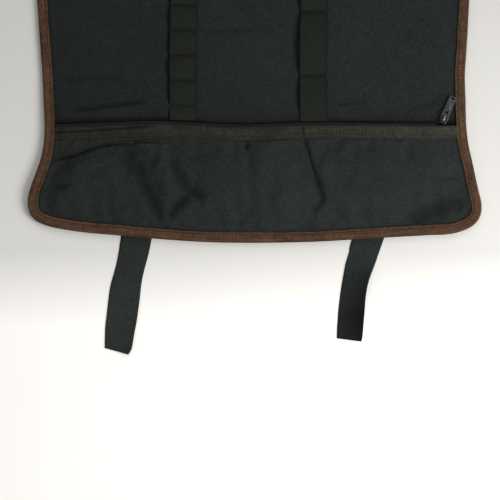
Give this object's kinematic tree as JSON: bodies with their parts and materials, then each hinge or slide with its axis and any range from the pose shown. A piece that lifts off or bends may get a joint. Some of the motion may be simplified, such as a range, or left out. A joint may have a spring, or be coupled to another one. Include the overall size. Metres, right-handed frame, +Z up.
{
  "type": "chef knife roll",
  "caption": "Open cloth chef knife roll with brown bound edges, a zip pocket, webbing tool and blade loops and two closing straps, lying flat.",
  "frame": {"origin": "middle of the whole footprint, straps included, on the surface that the roll lies on", "axes": "+Z up, +X across the roll to its right, +Y from the pocket end to the far end"},
  "size_m": [0.4722, 0.6752, 0.0156],
  "materials": {
    "body_cloth": "charcoal plain weave polyester cloth, matt",
    "binding_tape": "brown ribbed binding tape, matt",
    "zip_tape_cloth": "dark brownish woven zip tape, matt",
    "zip_coil": "black nylon coil",
    "webbing": "dark olive black webbing, matt",
    "strap_cloth": "dark charcoal strap cloth, matt",
    "zip_metal": "gunmetal lacquer, worn bright at the edges"
  },
  "bodies": {
    "roll": {"main_panel": "body_cloth", "pocket_front": "body_cloth", "edge_binding": "binding_tape", "zip_tape": "zip_tape_cloth", "zip_coil": "zip_coil", "zip_slider": "zip_metal", "loop_webbing_left": "webbing", "loop_webbing_right": "webbing", "strap_left": "strap_cloth", "strap_right": "strap_cloth"},
    "tab": {"pull_tab": "zip_metal"}
  },
  "joints": [
    {"name": "pull_tab_hinge", "type": "hinge", "parent": "roll", "child": "tab", "pos_m": [0.19809, -0.09147, 0.01025], "axis": [0.9121, -0.4099, 0], "range_deg": [0, 140]}
  ]
}
